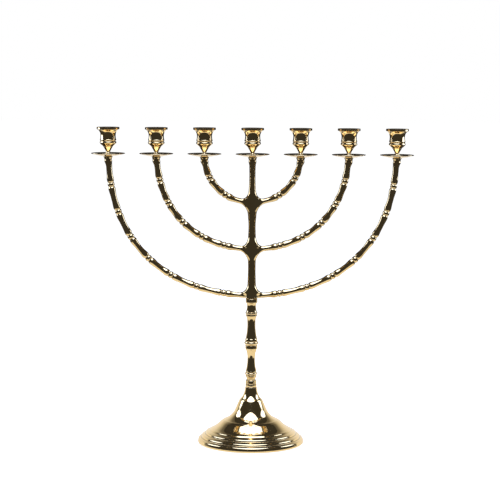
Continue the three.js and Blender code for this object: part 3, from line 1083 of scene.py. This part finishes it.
bell = lathe("bell", BELL, 192)
washer = lathe("washer", WASHER, 64, on_floor_of("base_washer"))
finish_piece(bell, foot_brass, "stand", "foot_brass", "base_bell")
finish_piece(washer, zinc_steel, "stand", "steel", "base_washer")
finish_piece(hex_nut(), zinc_steel, "stand", "steel", "base_nut")
finish_piece(tie_rod(), zinc_steel, "stand", "steel", "tie_rod")
plate = lathe("plate", PLATE, 128, on_floor_of("base_plate"))
finish_piece(plate, dark_steel, "stand", "steel", "base_plate")
finish_piece(lathe("felt", FELT, 128), green_felt, "stand", "felt", "felt_pad")

# ---- studio -------------------------------------------------------------------------------------

DAYLIGHT = (0.55, 0.67, 1.0)
WHITE = (1, 1, 1, 1)
BLACK = (0, 0, 0, 1)
PAPER = (0.82, 0.82, 0.82, 1)
DIM_ROOM = (0.042, 0.042, 0.042, 1)
CARD_RADIANCE = 3.8
FLOOR_HALF = 12.0
FLOOR_Z = -0.0002
TABLE_FRONT, TABLE_BACK, TABLE_SIDE = -0.33, 3.2, 0.62
SWEEP_Y, SWEEP_SIDE, SWEEP_TOP = 0.20, 0.50, 0.33


def light_card(name, centre, size, facing):
    """A soft box: an oval light that the camera doesn't see. Its cool white stays white in
    brass."""
    data = bpy.data.lights.new(name, "AREA")
    data.color = DAYLIGHT
    data.shape = "ELLIPSE"
    data.size, data.size_y = size
    data.energy = CARD_RADIANCE * math.pi * size[0] * size[1]
    light = bpy.data.objects.new(name, data)
    light.location = centre
    light.rotation_mode = "QUATERNION"
    light.rotation_quaternion = (Vector(facing) - Vector(centre)).to_track_quat("-Z", "Y")
    light.visible_camera = False
    scene.collection.objects.link(light)


def rectangle(name, corners, material):
    mesh = bpy.data.meshes.new(name)
    mesh.from_pydata(corners, [], [(0, 1, 2, 3)])
    mesh.materials.append(material)
    card = place(name, mesh)
    return card


def glowing(name, colour, strength):
    """A matt material whose glow varies. strength makes it from a Nodes."""
    n = Nodes(name)
    n.shader.inputs["Base Color"].default_value = colour
    n.shader.inputs["Specular IOR Level"].default_value = 0.0
    n.shader.inputs["Emission Color"].default_value = WHITE
    n.link(strength(n), n.shader.inputs["Emission Strength"])
    return n


def paper_glow(n):
    """Keeps the floor's brightness away from the object."""
    away = n.put("ShaderNodeVectorMath", operation="LENGTH")
    n.link(n.coordinates(), away.inputs[0])
    return n.remap(away.outputs["Value"], 0.10, 0.45, 0.72, 1.0)


def table_glow(n):
    """Bright around the foot, dimmer towards the table's sides."""
    return n.remap(n.math("ABSOLUTE", n.axes()[0]), 0.35, 0.95, 0.95, 0.35)


def sweep_glow(n):
    """Bright near the table and fading upwards."""
    return n.remap(n.axes()[2], 0.07, 0.28, 0.95, 0.14)


def make_floor():
    """Plain white paper, which the brass sees only as the reflectors."""
    paper = glowing("paper", PAPER, paper_glow)
    paper.shader.inputs["Roughness"].default_value = 1.0
    half = FLOOR_HALF
    corners = [(-half, -half, 0), (half, -half, 0), (half, half, 0), (-half, half, 0)]
    sheet = rectangle("floor", corners, paper.material)
    sheet.visible_glossy = False
    sheet.location.z = FLOOR_Z


def reflector(name, corners, strength):
    """A glowing card that shows only in the brass."""
    card = rectangle(name, corners, glowing(name, BLACK, strength).material)
    card.visible_camera = False
    card.visible_diffuse = False
    card.visible_shadow = False


def make_world():
    """White where the camera sees it, and a dim room for everything else."""
    world = bpy.data.worlds.new("studio")
    scene.world = world
    world.use_nodes = True
    tree = world.node_tree
    room = tree.nodes["Background"]
    room.inputs["Color"].default_value = DIM_ROOM
    seen = tree.nodes.new("ShaderNodeBackground")
    seen.inputs["Color"].default_value = WHITE
    path = tree.nodes.new("ShaderNodeLightPath")
    choose = tree.nodes.new("ShaderNodeMixShader")
    tree.links.new(path.outputs["Is Camera Ray"], choose.inputs[0])
    tree.links.new(room.outputs[0], choose.inputs[1])
    tree.links.new(seen.outputs[0], choose.inputs[2])
    tree.links.new(choose.outputs[0], tree.nodes["World Output"].inputs["Surface"])


make_floor()
reflector("table_reflection",
          [(-TABLE_SIDE, TABLE_FRONT, 0), (TABLE_SIDE, TABLE_FRONT, 0),
           (TABLE_SIDE, TABLE_BACK, 0), (-TABLE_SIDE, TABLE_BACK, 0)], table_glow)
reflector("sweep_reflection",
          [(-SWEEP_SIDE, SWEEP_Y, 0), (SWEEP_SIDE, SWEEP_Y, 0),
           (SWEEP_SIDE, SWEEP_Y, SWEEP_TOP), (-SWEEP_SIDE, SWEEP_Y, SWEEP_TOP)], sweep_glow)
light_card("top_box", (0, -1.10, 2.60), (2.40, 3.80), (0, -1.10, 0))
light_card("left_box", (-0.95, 0.19, 0.74), (0.62, 0.76), (0, 0.19, 0.74))
light_card("right_box", (0.95, 0.19, 0.74), (0.62, 0.76), (0, 0.19, 0.74))
make_world()
scene.view_settings.view_transform = "Standard"
